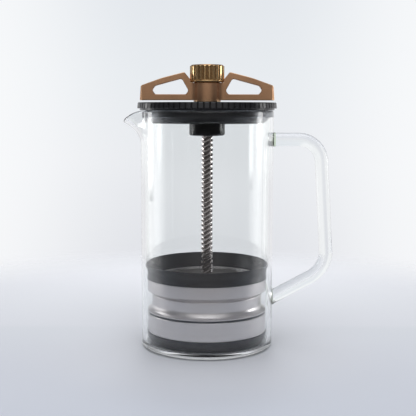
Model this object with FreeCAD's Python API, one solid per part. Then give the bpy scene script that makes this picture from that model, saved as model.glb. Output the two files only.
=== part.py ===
import FreeCAD, Part
import math
import os

# Screw-driven french press, millimetres, +Z up.
# Origin: centre of the beaker's base, on the surface it stands on.
# The spout points along -X, the handle along +X.

V = FreeCAD.Vector
os.makedirs("parts", exist_ok=True)

# ---------------------------------------------------------------- dimensions
# glass beaker
GLASS_R = 50.0          # outer radius of the wall
WALL = 2.8              # wall thickness
GLASS_RI = GLASS_R - WALL
FLOOR_T = 3.6           # thickness of the base
BASE_CORNER_R = 3.0     # outer corner at the foot
RIM_Z = 178.85          # top of the fire-polished rim
SPOUT_START_Z = 146.0   # below this the wall is a plain cylinder
SPOUT_HALF_ANGLE = 27.0 # the lip leaves the circle within this angle
SPOUT_SECTOR = 30.0     # half angle of the lofted sector of wall
# midline of the wall through the middle of the spout, radius and height
SPOUT_MID = [(48.6, 146.0), (48.6, 150.0), (48.68, 154.0), (48.98, 157.2), (50.30, 160.5),
             (52.18, 163.6), (54.75, 166.3), (57.8, 168.7), (61.45, 170.9)]

# glass rod handle
ROD_GLASS_R = 5.15
ARM_TOP_Z = 157.15      # axis of the upper arm
LIMB_SLOPE = 0.0613     # outward lean of the grip, per mm of drop
LIMB_X0 = 85.73         # grip axis where it meets the upper arm's axis
ARM_LOW_SLOPE = 0.543   # rise of the lower arm per mm
ARM_LOW_X, ARM_LOW_Z = 67.0, 45.3
BEND_TOP_R = 17.5
BEND_LOW_R = 21.5

# lid
LID_FLANGE_Z = 179.0
LID_FLANGE_R = 50.6     # plain lip that rests over the rim
LID_RIB_R = 52.4        # ribbed grip ring
LID_RIB_Z = 180.4
LID_TOP_Z = 184.8
LID_TOP_R = 52.0
LID_RIBS = 76
RIB_GROOVE_R = 0.62     # round-bottomed groove between two ribs
LID_BORE_R = 8.0
INSERT_BOTTOM_Z = 169.4
INSERT_R = 42.7
STRAINER_SLOTS = 80
GASKET_R = 46.9

# wing handle
WING_SPAN = 50.4
WING_T = 8.5
WING_Z0 = 186.5
HUB_R = 10.4
HUB_BLEND_R = 5.5
HUB_TOP_Z = 199.4
HUB_COLLAR_R = 10.2
HUB_BOTTOM_Z = 185.6
WING_BEVEL = 0.35

# drive nut
NUT_R = 13.5
NUT_Z0, NUT_Z1 = 160.1, 169.2
NECK_R = 7.9
NECK_FLAT = 6.4
NECK_SHOULDER_Z = 187.0
NECK_END_R = 6.0
NECK_PLAIN_BORE_R = 4.75
NUT_THREAD_Z1 = 174.0

# four-start screw
LEAD = 14.2
STARTS = 4
CREST_R = 4.35
ROOT_R = 3.35
CREST_HALF = 10.0       # half angle of a crest in cross-section, degrees
ROOT_HALF = 15.0
THREAD_GAP_R = 0.15     # radial room between the nut's thread and the rod's
THREAD_GAP_A = 2.6      # the same along the turn, degrees each side
ROD_Z0, ROD_Z1 = 52.7, 200.0
SPIGOT_R = 3.0

# knob
KNOB_R = 12.95
KNOB_Z0, KNOB_Z1 = 200.0, 213.1
KNOB_FLUTES = 24

# plunger pod
POD_R = 45.4
POD_NECK_R = 41.9
POD_FOOT_R = 45.2
POD_RI = 39.0
POD_Z0, POD_Z1 = 27.9, 52.7
PLATE_Z0, PLATE_T = 49.6, 1.6
MESH_T = 0.3
WIPER_TOP_Z = 63.6
WIPER_LIP_R = 46.9
RING_Z0, RING_Z1 = 12.4, 26.4
LUGS = 4
LUG_HALF = 8.0
TWIST = 35.0            # bayonet turn, degrees


# ---------------------------------------------------------------- helpers
def _corner(p0, p1, p2, r):
    """tangent points and arc middle for a corner rounded at radius r; r<0 is a bevel"""
    ax, ay = p0[0] - p1[0], p0[1] - p1[1]
    bx, by = p2[0] - p1[0], p2[1] - p1[1]
    la, lb = math.hypot(ax, ay), math.hypot(bx, by)
    ax, ay, bx, by = ax / la, ay / la, bx / lb, by / lb
    if r < 0:
        return (p1[0] - ax * r, p1[1] - ay * r), None, (p1[0] - bx * r, p1[1] - by * r)
    half = math.acos(max(-1, min(1, ax * bx + ay * by))) / 2
    t = r / math.tan(half)
    cx, cy = ax + bx, ay + by
    lc = math.hypot(cx, cy)
    cx, cy = cx / lc, cy / lc
    d = r / math.sin(half)
    m = (p1[0] + cx * (d - r), p1[1] + cy * (d - r))
    return (p1[0] + ax * t, p1[1] + ay * t), m, (p1[0] + bx * t, p1[1] + by * t)


def outline(pts, place):
    """closed wire through 2-D points (a, b[, corner radius]); place turns 2-D into 3-D"""
    n = len(pts)
    segs = []
    for i, p in enumerate(pts):
        r = p[2] if len(p) > 2 else 0
        if r:
            segs.append(_corner(pts[i - 1], p, pts[(i + 1) % n], r))
        else:
            segs.append(((p[0], p[1]), None, (p[0], p[1])))
    edges = []
    for i, (a, m, b) in enumerate(segs):
        if m:
            edges.append(Part.Arc(place(*a), place(*m), place(*b)).toShape())
        elif math.hypot(a[0] - b[0], a[1] - b[1]) > 1e-6:
            edges.append(Part.LineSegment(place(*a), place(*b)).toShape())
        nx = segs[(i + 1) % n][0]
        if math.hypot(nx[0] - b[0], nx[1] - b[1]) > 1e-6:
            edges.append(Part.LineSegment(place(*b), place(*nx)).toShape())
    return Part.Wire(edges)


def rz(r, z):
    return V(r, 0, z)


def turned(pts, angle=360.0, start=0.0):
    """solid of revolution about Z from (radius, height[, corner radius]) points"""
    f = Part.Face(outline(pts, rz))
    if start:
        f.rotate(V(0, 0, 0), V(0, 0, 1), start)
    return f.revolve(V(0, 0, 0), V(0, 0, 1), angle)


def cyl(r, z0, z1, x=0.0, y=0.0):
    return Part.makeCylinder(r, z1 - z0, V(x, y, z0))


def around(shape, count, first=0.0):
    out = []
    for i in range(count):
        s = shape.copy()
        s.rotate(V(0, 0, 0), V(0, 0, 1), first + 360.0 * i / count)
        out.append(s)
    return out


def slab(pts, y0, y1):
    """prism along Y from an outline in the XZ plane"""
    w = outline(pts, lambda a, b: V(a, y0, b))
    return Part.Face(w).extrude(V(0, y1 - y0, 0))


def sector(r0, r1, z0, z1, a0, a1):
    f = Part.Face(outline([(r0, z0), (r1, z0), (r1, z1), (r0, z1)], rz))
    f.rotate(V(0, 0, 0), V(0, 0, 1), a0)
    return f.revolve(V(0, 0, 0), V(0, 0, 1), a1 - a0)


def hexagon(across_flats, z0, z1):
    c = across_flats / 2 / math.cos(math.pi / 6)
    pts = [V(c * math.cos(math.radians(60 * i)), c * math.sin(math.radians(60 * i)), z0) for i in range(6)]
    return Part.Face(Part.makePolygon(pts + [pts[0]])).extrude(V(0, 0, z1 - z0))


def helical(crest, root, crest_half, root_half, z0, z1):
    """twisted prism of the screw's four-lobed section; phase is zero at Z = 0"""
    phase = 360.0 * z0 / LEAD
    step = 360.0 / STARTS
    edges = []
    for i in range(STARTS):
        a = phase + i * step

        def at(r, d):
            t = math.radians(a + d)
            return V(r * math.cos(t), r * math.sin(t), 0)
        c0, cm, c1 = at(crest, -crest_half), at(crest, 0), at(crest, crest_half)
        r0, rm, r1 = at(root, step / 2 - root_half), at(root, step / 2), at(root, step / 2 + root_half)
        edges.append(Part.Arc(c0, cm, c1).toShape())
        edges.append(Part.LineSegment(c1, r0).toShape())
        edges.append(Part.Arc(r0, rm, r1).toShape())
        edges.append(Part.LineSegment(r1, at(crest, step - crest_half)).toShape())
    h = z1 - z0
    spine = Part.Wire([Part.LineSegment(V(0, 0, 0), V(0, 0, h)).toShape()])
    guide = Part.Wire(Part.makeHelix(LEAD, h, crest).Edges)
    sweep = Part.BRepOffsetAPI.MakePipeShell(spine)
    sweep.setAuxiliarySpine(guide, True, 0)
    sweep.add(Part.Wire(edges))
    sweep.build()
    sweep.makeSolid()
    s = sweep.shape()
    s.translate(V(0, 0, z0))
    return s


PARTS = {}


def put(name, shape):
    if shape.ShapeType == "Compound" and len(shape.Solids) == 1:
        shape = shape.Solids[0]
    PARTS[name] = shape
    bb = shape.BoundBox
    print("%-24s solids %d valid %s vol %9.1f  x %.2f %.2f y %.2f %.2f z %.2f %.2f" % (
        name, len(shape.Solids), shape.isValid(), shape.Volume, bb.XMin, bb.XMax, bb.YMin, bb.YMax, bb.ZMin, bb.ZMax))
    shape.exportStep("parts/" + name + ".step")


# ---------------------------------------------------------------- glass beaker
def spout_section(deg):
    """closed wall section in the vertical plane at this angle from -X"""
    half = WALL / 2
    w = math.cos(math.pi * deg / (2 * SPOUT_HALF_ANGLE)) ** 2 if abs(deg) < SPOUT_HALF_ANGLE else 0.0
    mid = Part.BSplineCurve()
    mid.interpolate([V(r, 0, z) for r, z in SPOUT_MID])
    length = mid.length()
    top = RIM_Z - half
    n = 14
    line = []
    for i in range(n):
        s = i / (n - 1)
        p = mid.value(mid.parameterAtDistance(length * s, mid.FirstParameter))
        zc = SPOUT_START_Z + s * (top - SPOUT_START_Z)
        line.append((48.6 + w * (p.x - 48.6), zc + w * w * (p.z - zc)))
    outer, inner = [], []
    for i, (r, z) in enumerate(line):
        a = line[max(i - 1, 0)]
        b = line[min(i + 1, n - 1)]
        tr, tz = b[0] - a[0], b[1] - a[1]
        if i == 0:
            tr, tz = 0.0, 1.0
        l = math.hypot(tr, tz)
        tr, tz = tr / l, tz / l
        outer.append((r + tz * half, z - tr * half))
        inner.append((r - tz * half, z + tr * half))
        end = (r + tr * half, z + tz * half)
    ang = math.radians(180.0 + deg)
    ca, sa = math.cos(ang), math.sin(ang)

    def at(p):
        return V(p[0] * ca, p[0] * sa, p[1])
    e1 = Part.BSplineCurve()
    e1.interpolate([at(p) for p in outer])
    e3 = Part.BSplineCurve()
    e3.interpolate([at(p) for p in reversed(inner)])
    return Part.Wire([e1.toShape(), Part.Arc(at(outer[-1]), at(end), at(inner[-1])).toShape(), e3.toShape(),
                      Part.LineSegment(at(inner[0]), at(outer[0])).toShape()])


def make_beaker():
    cup = turned([(0, 0), (GLASS_R, 0, BASE_CORNER_R), (GLASS_R, SPOUT_START_Z), (GLASS_RI, SPOUT_START_Z),
                  (GLASS_RI, FLOOR_T, 2.2), (0, FLOOR_T)])
    mid_r = GLASS_R - WALL / 2
    zt = RIM_Z - WALL / 2
    wire = Part.Wire([Part.LineSegment(rz(GLASS_R, SPOUT_START_Z), rz(GLASS_R, zt)).toShape(),
                      Part.Arc(rz(GLASS_R, zt), rz(mid_r, RIM_Z), rz(GLASS_RI, zt)).toShape(),
                      Part.LineSegment(rz(GLASS_RI, zt), rz(GLASS_RI, SPOUT_START_Z)).toShape(),
                      Part.LineSegment(rz(GLASS_RI, SPOUT_START_Z), rz(GLASS_R, SPOUT_START_Z)).toShape()])
    face = Part.Face(wire)
    face.rotate(V(0, 0, 0), V(0, 0, 1), -180.0 + SPOUT_SECTOR)
    collar = face.revolve(V(0, 0, 0), V(0, 0, 1), 360.0 - 2 * SPOUT_SECTOR)
    n = 25
    secs = [spout_section(-SPOUT_SECTOR + 2 * SPOUT_SECTOR * i / (n - 1)) for i in range(n)]
    spout = Part.makeLoft(secs, True, False)
    body = cup.fuse([collar, spout], 0.002)
    return body


beaker = make_beaker()
put("glass_beaker", beaker)

# ---------------------------------------------------------------- glass handle
p1 = (LIMB_X0, ARM_TOP_Z)
x2 = (LIMB_X0 + LIMB_SLOPE * (ARM_TOP_Z - ARM_LOW_Z + ARM_LOW_SLOPE * ARM_LOW_X)) / (1 + LIMB_SLOPE * ARM_LOW_SLOPE)
p2 = (x2, ARM_LOW_Z + (x2 - ARM_LOW_X) * ARM_LOW_SLOPE)
start = (46.0, ARM_TOP_Z)
stop = (46.0, ARM_LOW_Z + (46.0 - ARM_LOW_X) * ARM_LOW_SLOPE)
a1, m1, b1 = _corner(start, p1, p2, BEND_TOP_R)
a2, m2, b2 = _corner(p1, p2, stop, BEND_LOW_R)
path = Part.Wire([Part.LineSegment(rz(*start), rz(*a1)).toShape(), Part.Arc(rz(*a1), rz(*m1), rz(*b1)).toShape(),
                  Part.LineSegment(rz(*b1), rz(*a2)).toShape(), Part.Arc(rz(*a2), rz(*m2), rz(*b2)).toShape(),
                  Part.LineSegment(rz(*b2), rz(*stop)).toShape()])
disc = Part.Wire([Part.Circle(rz(*start), V(1, 0, 0), ROD_GLASS_R).toShape()])
bar = path.makePipeShell([disc], True, True)
# a slight bead where the hot rod is pressed on to the wall
bead_top = Part.makeCone(ROD_GLASS_R + 0.75, ROD_GLASS_R, 5.6, V(47.0, 0, ARM_TOP_Z), V(1, 0, 0))
low_z = ARM_LOW_Z + (50.0 - ARM_LOW_X) * ARM_LOW_SLOPE
bead_low = Part.Face(Part.Wire([Part.Ellipse(V(47.0, 0, low_z), 6.75, 5.7).toShape()]))
el = Part.Ellipse(V(0, 0, 0), 6.75, 5.7).toShape()
el.rotate(V(0, 0, 0), V(0, 1, 0), -90)
el.translate(V(47.0, 0, low_z - 0.3))
bead_low = Part.Face(Part.Wire([el])).extrude(V(4.6, 0, 0))
handle = bar.fuse([bead_top, bead_low]).cut(cyl(GLASS_R, 0, 200))
put("glass_handle", handle)

# ---------------------------------------------------------------- lid
cap = turned([(LID_BORE_R, 172.0), (11.6, 172.0), (11.6, 182.2), (43.6, 182.2), (43.6, 178.6), (46.2, 178.6),
              (46.2, LID_FLANGE_Z), (LID_FLANGE_R, LID_FLANGE_Z, 0.4), (LID_FLANGE_R, LID_RIB_Z, 0.2),
              (LID_RIB_R, LID_RIB_Z, 0.35), (LID_TOP_R, LID_TOP_Z, 0.8),
              (14.6, LID_TOP_Z, -0.25), (14.0, LID_TOP_Z - 0.6), (11.4, LID_TOP_Z - 0.6), (11.0, LID_TOP_Z, -0.2),
              (LID_BORE_R, LID_TOP_Z)])
lo = V(LID_RIB_R - 0.25, 0, LID_RIB_Z - 0.6)
hi = V(LID_TOP_R - 0.25, 0, LID_TOP_Z + 0.9)
groove = Part.makeCylinder(RIB_GROOVE_R, (hi - lo).Length, lo, hi - lo)
cap = cap.cut(Part.makeCompound(around(groove, LID_RIBS, 360.0 / LID_RIBS / 2)))
put("lid_cap", cap)

insert = turned([(LID_BORE_R, 170.4), (12.4, 170.4), (12.4, INSERT_BOTTOM_Z), (INSERT_R, INSERT_BOTTOM_Z, 0.4),
                 (INSERT_R, 171.2, 0.4), (37.3, 171.4), (39.6, 175.4), (44.4, 175.4), (44.4, 176.9), (41.0, 176.9),
                 (41.0, 182.2), (38.8, 182.2), (38.8, 176.9), (35.3, 171.6), (13.6, 171.6), (13.6, 182.0),
                 (11.6, 182.0), (11.6, 172.0), (LID_BORE_R, 172.0)])
slot = Part.makeBox(12.0, 1.3, 3.3, V(31.0, -0.65, 171.8))
insert = insert.cut(Part.makeCompound(around(slot, STRAINER_SLOTS)))
put("lid_insert", insert)

gasket = turned([(41.0, 176.9), (45.3, 176.9), (45.3, 174.4, 1.0), (42.95, 171.7), (43.6, 169.9, 0.4),
                 (GASKET_R, 173.7, 1.2), (GASKET_R, 178.0, 0.5), (46.2, 178.6), (41.0, 178.6)])
put("lid_gasket", gasket)

washer_low = turned([(LID_BORE_R + 0.1, 169.3), (12.2, 169.3, -0.2), (12.2, 170.4), (LID_BORE_R + 0.1, 170.4)])
put("lower_thrust_washer", washer_low)

# ---------------------------------------------------------------- wing handle
top_line = [(50.4, 186.5, 0.5), (49.55, 196.9, 0.6), (48.5, 197.75, 0.8), (33.6, 203.1, 60.0), (16.9, 207.35, 1.6),
            (10.6, HUB_TOP_Z)]
half = [(x, z) + tuple(r) for x, z, *r in top_line]
left = [(-x, z) + tuple(r) for x, z, *r in reversed(top_line)]
face_outline = half + left
win = [(38.9, 190.9, 2.0), (41.2, 193.9, 2.0), (39.0, 197.15, 2.2), (19.0, 202.6, 2.2), (13.9, 193.6, 2.2),
       (15.9, 190.9, 1.6)]
HALF_T = WING_T / 2
wing = slab(face_outline, -HALF_T, HALF_T)
for sx in (1, -1):
    wing = wing.cut(slab([(sx * p[0], p[1], p[2]) for p in win], -14, 14))
# small bevel along every edge of the broad faces
wing = wing.makeChamfer(WING_BEVEL, [e for e in wing.Edges if e.BoundBox.YLength < 0.01])
# the tips' upright corners are bevelled more
wing = wing.common(Part.Face(outline([(-51.0, -HALF_T, -2.4), (51.0, -HALF_T, -2.4), (51.0, HALF_T, -2.4),
                                      (-51.0, HALF_T, -2.4)], lambda a, b: V(a, b, 180.0))).extrude(V(0, 0, 32)))

# hub with concave blends into the broad faces
d = HUB_R + HUB_BLEND_R
by = HALF_T + HUB_BLEND_R
bx = math.sqrt(d * d - by * by)
tx, ty = bx * HUB_R / d, by * HUB_R / d
mx, my = bx - HUB_BLEND_R * math.sin(math.atan2(bx - tx, by - ty) / 2), by - HUB_BLEND_R * math.cos(math.atan2(bx - tx, by - ty) / 2)
hub_edges = []
quad = [(1, 1), (-1, 1), (-1, -1), (1, -1)]
z0 = WING_Z0


def hp(x, y):
    return V(x, y, z0)


hub_edges.append(Part.LineSegment(hp(bx, -HALF_T), hp(bx, HALF_T)).toShape())
hub_edges.append(Part.Arc(hp(bx, HALF_T), hp(mx, my), hp(tx, ty)).toShape())
hub_edges.append(Part.Arc(hp(tx, ty), hp(0, HUB_R), hp(-tx, ty)).toShape())
hub_edges.append(Part.Arc(hp(-tx, ty), hp(-mx, my), hp(-bx, HALF_T)).toShape())
hub_edges.append(Part.LineSegment(hp(-bx, HALF_T), hp(-bx, -HALF_T)).toShape())
hub_edges.append(Part.Arc(hp(-bx, -HALF_T), hp(-mx, -my), hp(-tx, -ty)).toShape())
hub_edges.append(Part.Arc(hp(-tx, -ty), hp(0, -HUB_R), hp(tx, -ty)).toShape())
hub_edges.append(Part.Arc(hp(tx, -ty), hp(mx, -my), hp(bx, -HALF_T)).toShape())
column = Part.Face(Part.Wire(hub_edges)).extrude(V(0, 0, HUB_TOP_Z - WING_Z0))
rim = [e for e in column.Edges if e.BoundBox.ZMin > HUB_TOP_Z - 0.01 and e.BoundBox.XLength > 0.5]
column = column.makeChamfer(WING_BEVEL, rim)
wing = wing.fuse([column, cyl(HUB_COLLAR_R, HUB_BOTTOM_Z, 187.0)])
# round pocket that clears the knob between the two wings
wing = wing.cut(cyl(KNOB_R + 0.35, HUB_TOP_Z + 0.35, 215.0))


def neck_flats(r, z0, z1):
    return cyl(r, z0, z1).common(Part.makeBox(40, 2 * NECK_FLAT, z1 - z0, V(-20, -NECK_FLAT, z0)))


wing = wing.cut(cyl(NECK_R, 180, NECK_SHOULDER_Z)).cut(neck_flats(NECK_R, 180, 194.6))
wing = wing.cut(turned([(0, 194.6), (8.7, 194.6), (8.7, HUB_TOP_Z - 0.5), (9.5, HUB_TOP_Z + 0.3), (0, HUB_TOP_Z + 0.3)]))
put("wing_handle", wing)

washer_up = turned([(LID_BORE_R + 0.1, 184.9), (HUB_COLLAR_R, 184.9, -0.15), (HUB_COLLAR_R, HUB_BOTTOM_Z),
                    (LID_BORE_R + 0.1, HUB_BOTTOM_Z)])
put("upper_thrust_washer", washer_up)

nut = turned([(0, NUT_Z0), (NUT_R, NUT_Z0, 1.8), (NUT_R, NUT_Z1, 0.3), (NECK_R, NUT_Z1), (NECK_R, NECK_SHOULDER_Z),
              (0, NECK_SHOULDER_Z)])
nut = nut.fuse(neck_flats(NECK_R, NECK_SHOULDER_Z, 194.6)).fuse(turned([(0, 194.6), (NECK_END_R, 194.6),
                                                                     (NECK_END_R, 198.4, -0.4), (0, 198.4)]))
nut = nut.cut(turned([(0, NUT_THREAD_Z1), (NECK_PLAIN_BORE_R, NUT_THREAD_Z1), (NECK_PLAIN_BORE_R, 200), (0, 200)]))
nut = nut.cut(helical(CREST_R + THREAD_GAP_R, ROOT_R + THREAD_GAP_R, CREST_HALF + THREAD_GAP_A,
                      ROOT_HALF - THREAD_GAP_A, NUT_Z0 - 1.0, NUT_THREAD_Z1 + 0.5))
nut = nut.cut(turned([(0, NUT_Z0 - 1), (5.6, NUT_Z0 - 1), (4.2, NUT_Z0 + 0.6), (0, NUT_Z0 + 0.6)]))
nut = nut.removeSplitter()
put("drive_nut", nut)

locknut = hexagon(14.0, 194.6, 198.0).common(turned([(0, 194.6), (8.08, 194.6), (8.08, 197.6), (7.3, 198.0), (0, 198.0)]))
locknut = locknut.cut(cyl(NECK_END_R, 190, 200))
put("hub_locknut", locknut)

# ---------------------------------------------------------------- screw rod and knob
rod = helical(CREST_R, ROOT_R, CREST_HALF, ROOT_HALF, ROD_Z0, ROD_Z1)
rod = rod.common(turned([(0, ROD_Z0), (3.6, ROD_Z0), (4.6, ROD_Z0 + 0.8), (4.6, ROD_Z1 - 0.5), (4.0, ROD_Z1), (0, ROD_Z1)]))
rod = rod.fuse([cyl(SPIGOT_R, 45.4, ROD_Z0 + 0.5), cyl(SPIGOT_R, ROD_Z1 - 0.5, 208.6)])
put("screw_rod", rod)

knob = turned([(SPIGOT_R, KNOB_Z0), (4.7, KNOB_Z0), (4.7, KNOB_Z0 - 0.45), (9.8, KNOB_Z0 - 0.45, -0.15), (9.8, KNOB_Z0 - 0.15), (12.3, KNOB_Z0 - 0.15, 0.25),
               (12.85, KNOB_Z0 + 0.4, 0.25), (12.85, KNOB_Z0 + 1.0, 0.2),
               (KNOB_R - 0.35, KNOB_Z0 + 1.25), (KNOB_R, KNOB_Z0 + 1.6), (KNOB_R, KNOB_Z1 - 1.5, 0.3),
               (11.55, KNOB_Z1 - 0.35, 0.4), (0.0, KNOB_Z1), (0.0, 208.6), (SPIGOT_R, 208.6)])
flute = cyl(1.4, KNOB_Z0 + 1.35, KNOB_Z1 + 1, KNOB_R + 0.62, 0)
knob = knob.cut(Part.makeCompound(around(flute, KNOB_FLUTES)))
put("knob", knob)

# ---------------------------------------------------------------- plunger pod, upper half
cove = Part.Wire([
    Part.LineSegment(rz(POD_RI, POD_Z0), rz(44.9, POD_Z0)).toShape(),
    Part.LineSegment(rz(44.9, POD_Z0), rz(POD_FOOT_R, POD_Z0 + 0.3)).toShape(),
    Part.LineSegment(rz(POD_FOOT_R, POD_Z0 + 0.3), rz(POD_FOOT_R, POD_Z0 + 0.8)).toShape(),
    Part.LineSegment(rz(POD_FOOT_R, POD_Z0 + 0.8), rz(POD_FOOT_R - 0.5, POD_Z0 + 1.1)).toShape(),
    Part.Arc(rz(POD_FOOT_R - 0.5, POD_Z0 + 1.1), rz(42.62, 30.9), rz(POD_NECK_R, 33.4)).toShape(),
    Part.LineSegment(rz(POD_NECK_R, 33.4), rz(POD_NECK_R, 40.35)).toShape(),
    Part.LineSegment(rz(POD_NECK_R, 40.35), rz(POD_NECK_R - 0.35, 40.6)).toShape(),
    Part.LineSegment(rz(POD_NECK_R - 0.35, 40.6), rz(POD_NECK_R + 0.1, 41.1)).toShape(),
    Part.LineSegment(rz(POD_NECK_R + 0.1, 41.1), rz(POD_R - 0.15, 43.7)).toShape(),
    Part.LineSegment(rz(POD_R - 0.15, 43.7), rz(POD_R, 43.95)).toShape(),
    Part.LineSegment(rz(POD_R, 43.95), rz(POD_R, POD_Z1 - 0.25)).toShape(),
    Part.LineSegment(rz(POD_R, POD_Z1 - 0.25), rz(POD_R - 0.25, POD_Z1)).toShape(),
    Part.LineSegment(rz(POD_R - 0.25, POD_Z1), rz(44.2, POD_Z1)).toShape(),
    Part.LineSegment(rz(44.2, POD_Z1), rz(44.2, 55.8)).toShape(),
    Part.LineSegment(rz(44.2, 55.8), rz(43.2, 55.8)).toShape(),
    Part.LineSegment(rz(43.2, 55.8), rz(43.2, POD_Z1)).toShape(),
    Part.LineSegment(rz(43.2, POD_Z1), rz(40.2, POD_Z1)).toShape(),
    Part.LineSegment(rz(40.2, POD_Z1), rz(40.2, PLATE_Z0)).toShape(),
    Part.LineSegment(rz(40.2, PLATE_Z0), rz(37.4, PLATE_Z0)).toShape(),
    Part.LineSegment(rz(37.4, PLATE_Z0), rz(37.4, 48.6)).toShape(),
    Part.LineSegment(rz(37.4, 48.6), rz(POD_RI, 47.0)).toShape(),
    Part.LineSegment(rz(POD_RI, 47.0), rz(POD_RI, POD_Z0)).toShape(),
])
pod = Part.Face(cove).revolve(V(0, 0, 0), V(0, 0, 1), 360)
cuts = []
for i in range(LUGS):
    a = 45.0 + 90.0 * i
    cuts.append(sector(36.0, 40.7, 28.8, 30.8, a - LUG_HALF - 0.6, a + LUG_HALF + TWIST + 0.6))
    cuts.append(sector(36.0, 40.7, 27.0, 29.0, a + TWIST - LUG_HALF - 0.6, a + TWIST + LUG_HALF + 0.6))
pod = pod.cut(Part.makeCompound(cuts))
put("pod_body", pod)

holes = []
for r, n in ((12.0, 12), (17.0, 18), (22.0, 24), (27.0, 30), (32.0, 36)):
    holes += around(cyl(1.6, 0, 60, r, 0), n, 360.0 / n / 2 * (1 if n % 12 else 0))
holes = Part.makeCompound(holes)
plate_up = turned([(SPIGOT_R, PLATE_Z0), (40.1, PLATE_Z0), (40.1, PLATE_Z0 + PLATE_T), (SPIGOT_R, PLATE_Z0 + PLATE_T)]).cut(holes)
put("upper_filter_plate", plate_up)

z = PLATE_Z0 + PLATE_T
put("upper_mesh", turned([(SPIGOT_R, z), (40.1, z), (40.1, z + MESH_T), (SPIGOT_R, z + MESH_T)]))
z += MESH_T
put("upper_retaining_ring", turned([(38.6, z), (40.2, z), (40.2, z + 1.0, 0.3), (38.6, z + 1.0, 0.3)])
    .cut(Part.makeBox(6, 2.4, 4, V(36.5, -1.2, z - 1))))
put("rod_washer", turned([(SPIGOT_R, z), (8.0, z), (8.0, ROD_Z0, -0.3), (SPIGOT_R, ROD_Z0)]))
capnut = hexagon(10.0, 46.2, PLATE_Z0).common(turned([(0, 46.2), (5.2, 46.2), (5.78, 46.6), (5.78, PLATE_Z0), (0, PLATE_Z0)]))
capnut = capnut.fuse(turned([(0, 43.6), (2.6, 43.9), (4.0, 44.9), (4.7, 46.2), (4.7, 46.4), (0, 46.4)]))
put("rod_cap_nut", capnut.cut(cyl(SPIGOT_R, 45.4, 60)))

wiper = turned([(41.4, POD_Z1), (43.2, POD_Z1), (43.2, 55.8), (44.2, 55.8), (44.2, POD_Z1), (45.8, POD_Z1, 0.3),
                (45.3, 56.2, 6.0), (45.35, 58.6, 6.0), (WIPER_LIP_R, 63.1, 0.3), (46.75, WIPER_TOP_Z, 0.2),
                (46.25, WIPER_TOP_Z, 0.2), (41.5, 53.6, 0.5)])
put("wiper_seal", wiper)

# ---------------------------------------------------------------- plunger pod, lower half
ring = turned([(40.6, RING_Z0), (42.2, RING_Z0), (42.2, 15.4), (43.6, 15.4), (43.6, RING_Z0), (POD_FOOT_R, RING_Z0, -0.4),
               (POD_FOOT_R, RING_Z1, -0.3), (44.65, RING_Z1), (44.65, 25.5), (42.95, 25.5), (42.95, RING_Z1),
               (38.8, RING_Z1), (38.8, 31.4, -0.3), (37.0, 31.4, -0.3), (37.0, 25.8), (POD_RI, 23.8), (POD_RI, 17.0),
               (40.6, 17.0)])
lugs = [sector(38.0, 40.4, 29.0, 30.6, 45.0 + 90.0 * i - LUG_HALF, 45.0 + 90.0 * i + LUG_HALF) for i in range(LUGS)]
ring = ring.fuse(lugs).removeSplitter()
put("pod_lower_ring", ring)
put("pod_o_ring", turned([(43.0, 25.5, 0.3), (44.6, 25.5, 0.3), (44.6, 27.8, 0.6), (43.0, 27.8, 0.6)]))

put("lower_mesh", turned([(0, 16.7), (40.5, 16.7), (40.5, 17.0), (0, 17.0)]))
lower_holes = Part.makeCompound([holes, around(cyl(1.6, 0, 60, 6.5, 0), 6)[0]] + around(cyl(1.6, 0, 60, 6.5, 0), 6)[1:]
                                + [cyl(1.6, 0, 60)])
plate_low = turned([(0, 15.1), (40.5, 15.1), (40.5, 16.7), (0, 16.7)]).cut(lower_holes)
put("lower_filter_plate", plate_low)
put("lower_retaining_ring", turned([(38.6, 13.9, 0.3), (40.6, 13.9, 0.3), (40.6, 15.1), (38.6, 15.1)])
    .cut(Part.makeBox(6, 2.4, 4, V(36.5, -1.2, 12.5))))
base = turned([(40.9, 3.9, 0.4), (43.0, 3.9, 0.9), (45.25, 8.2, 5.0), (45.8, 12.1, 0.2), (45.6, 12.4), (43.6, 12.4), (43.6, 15.4),
               (42.2, 15.4), (42.2, 12.4), (40.9, 12.4)])
put("base_seal_ring", base)
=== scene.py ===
import math

import bmesh
import bpy
import numpy as np
from mathutils import Matrix, Vector


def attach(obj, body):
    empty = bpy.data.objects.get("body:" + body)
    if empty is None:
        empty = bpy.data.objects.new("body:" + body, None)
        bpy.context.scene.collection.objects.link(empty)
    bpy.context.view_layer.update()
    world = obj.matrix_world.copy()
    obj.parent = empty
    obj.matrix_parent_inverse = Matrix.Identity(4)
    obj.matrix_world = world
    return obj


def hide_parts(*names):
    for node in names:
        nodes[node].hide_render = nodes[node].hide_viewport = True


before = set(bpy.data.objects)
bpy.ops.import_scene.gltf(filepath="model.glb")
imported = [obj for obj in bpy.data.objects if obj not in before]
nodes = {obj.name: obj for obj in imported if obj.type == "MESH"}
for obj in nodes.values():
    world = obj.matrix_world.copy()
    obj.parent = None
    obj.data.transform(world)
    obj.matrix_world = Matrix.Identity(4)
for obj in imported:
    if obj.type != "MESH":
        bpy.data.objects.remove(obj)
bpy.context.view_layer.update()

MM = 0.001
scene = bpy.context.scene


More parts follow.
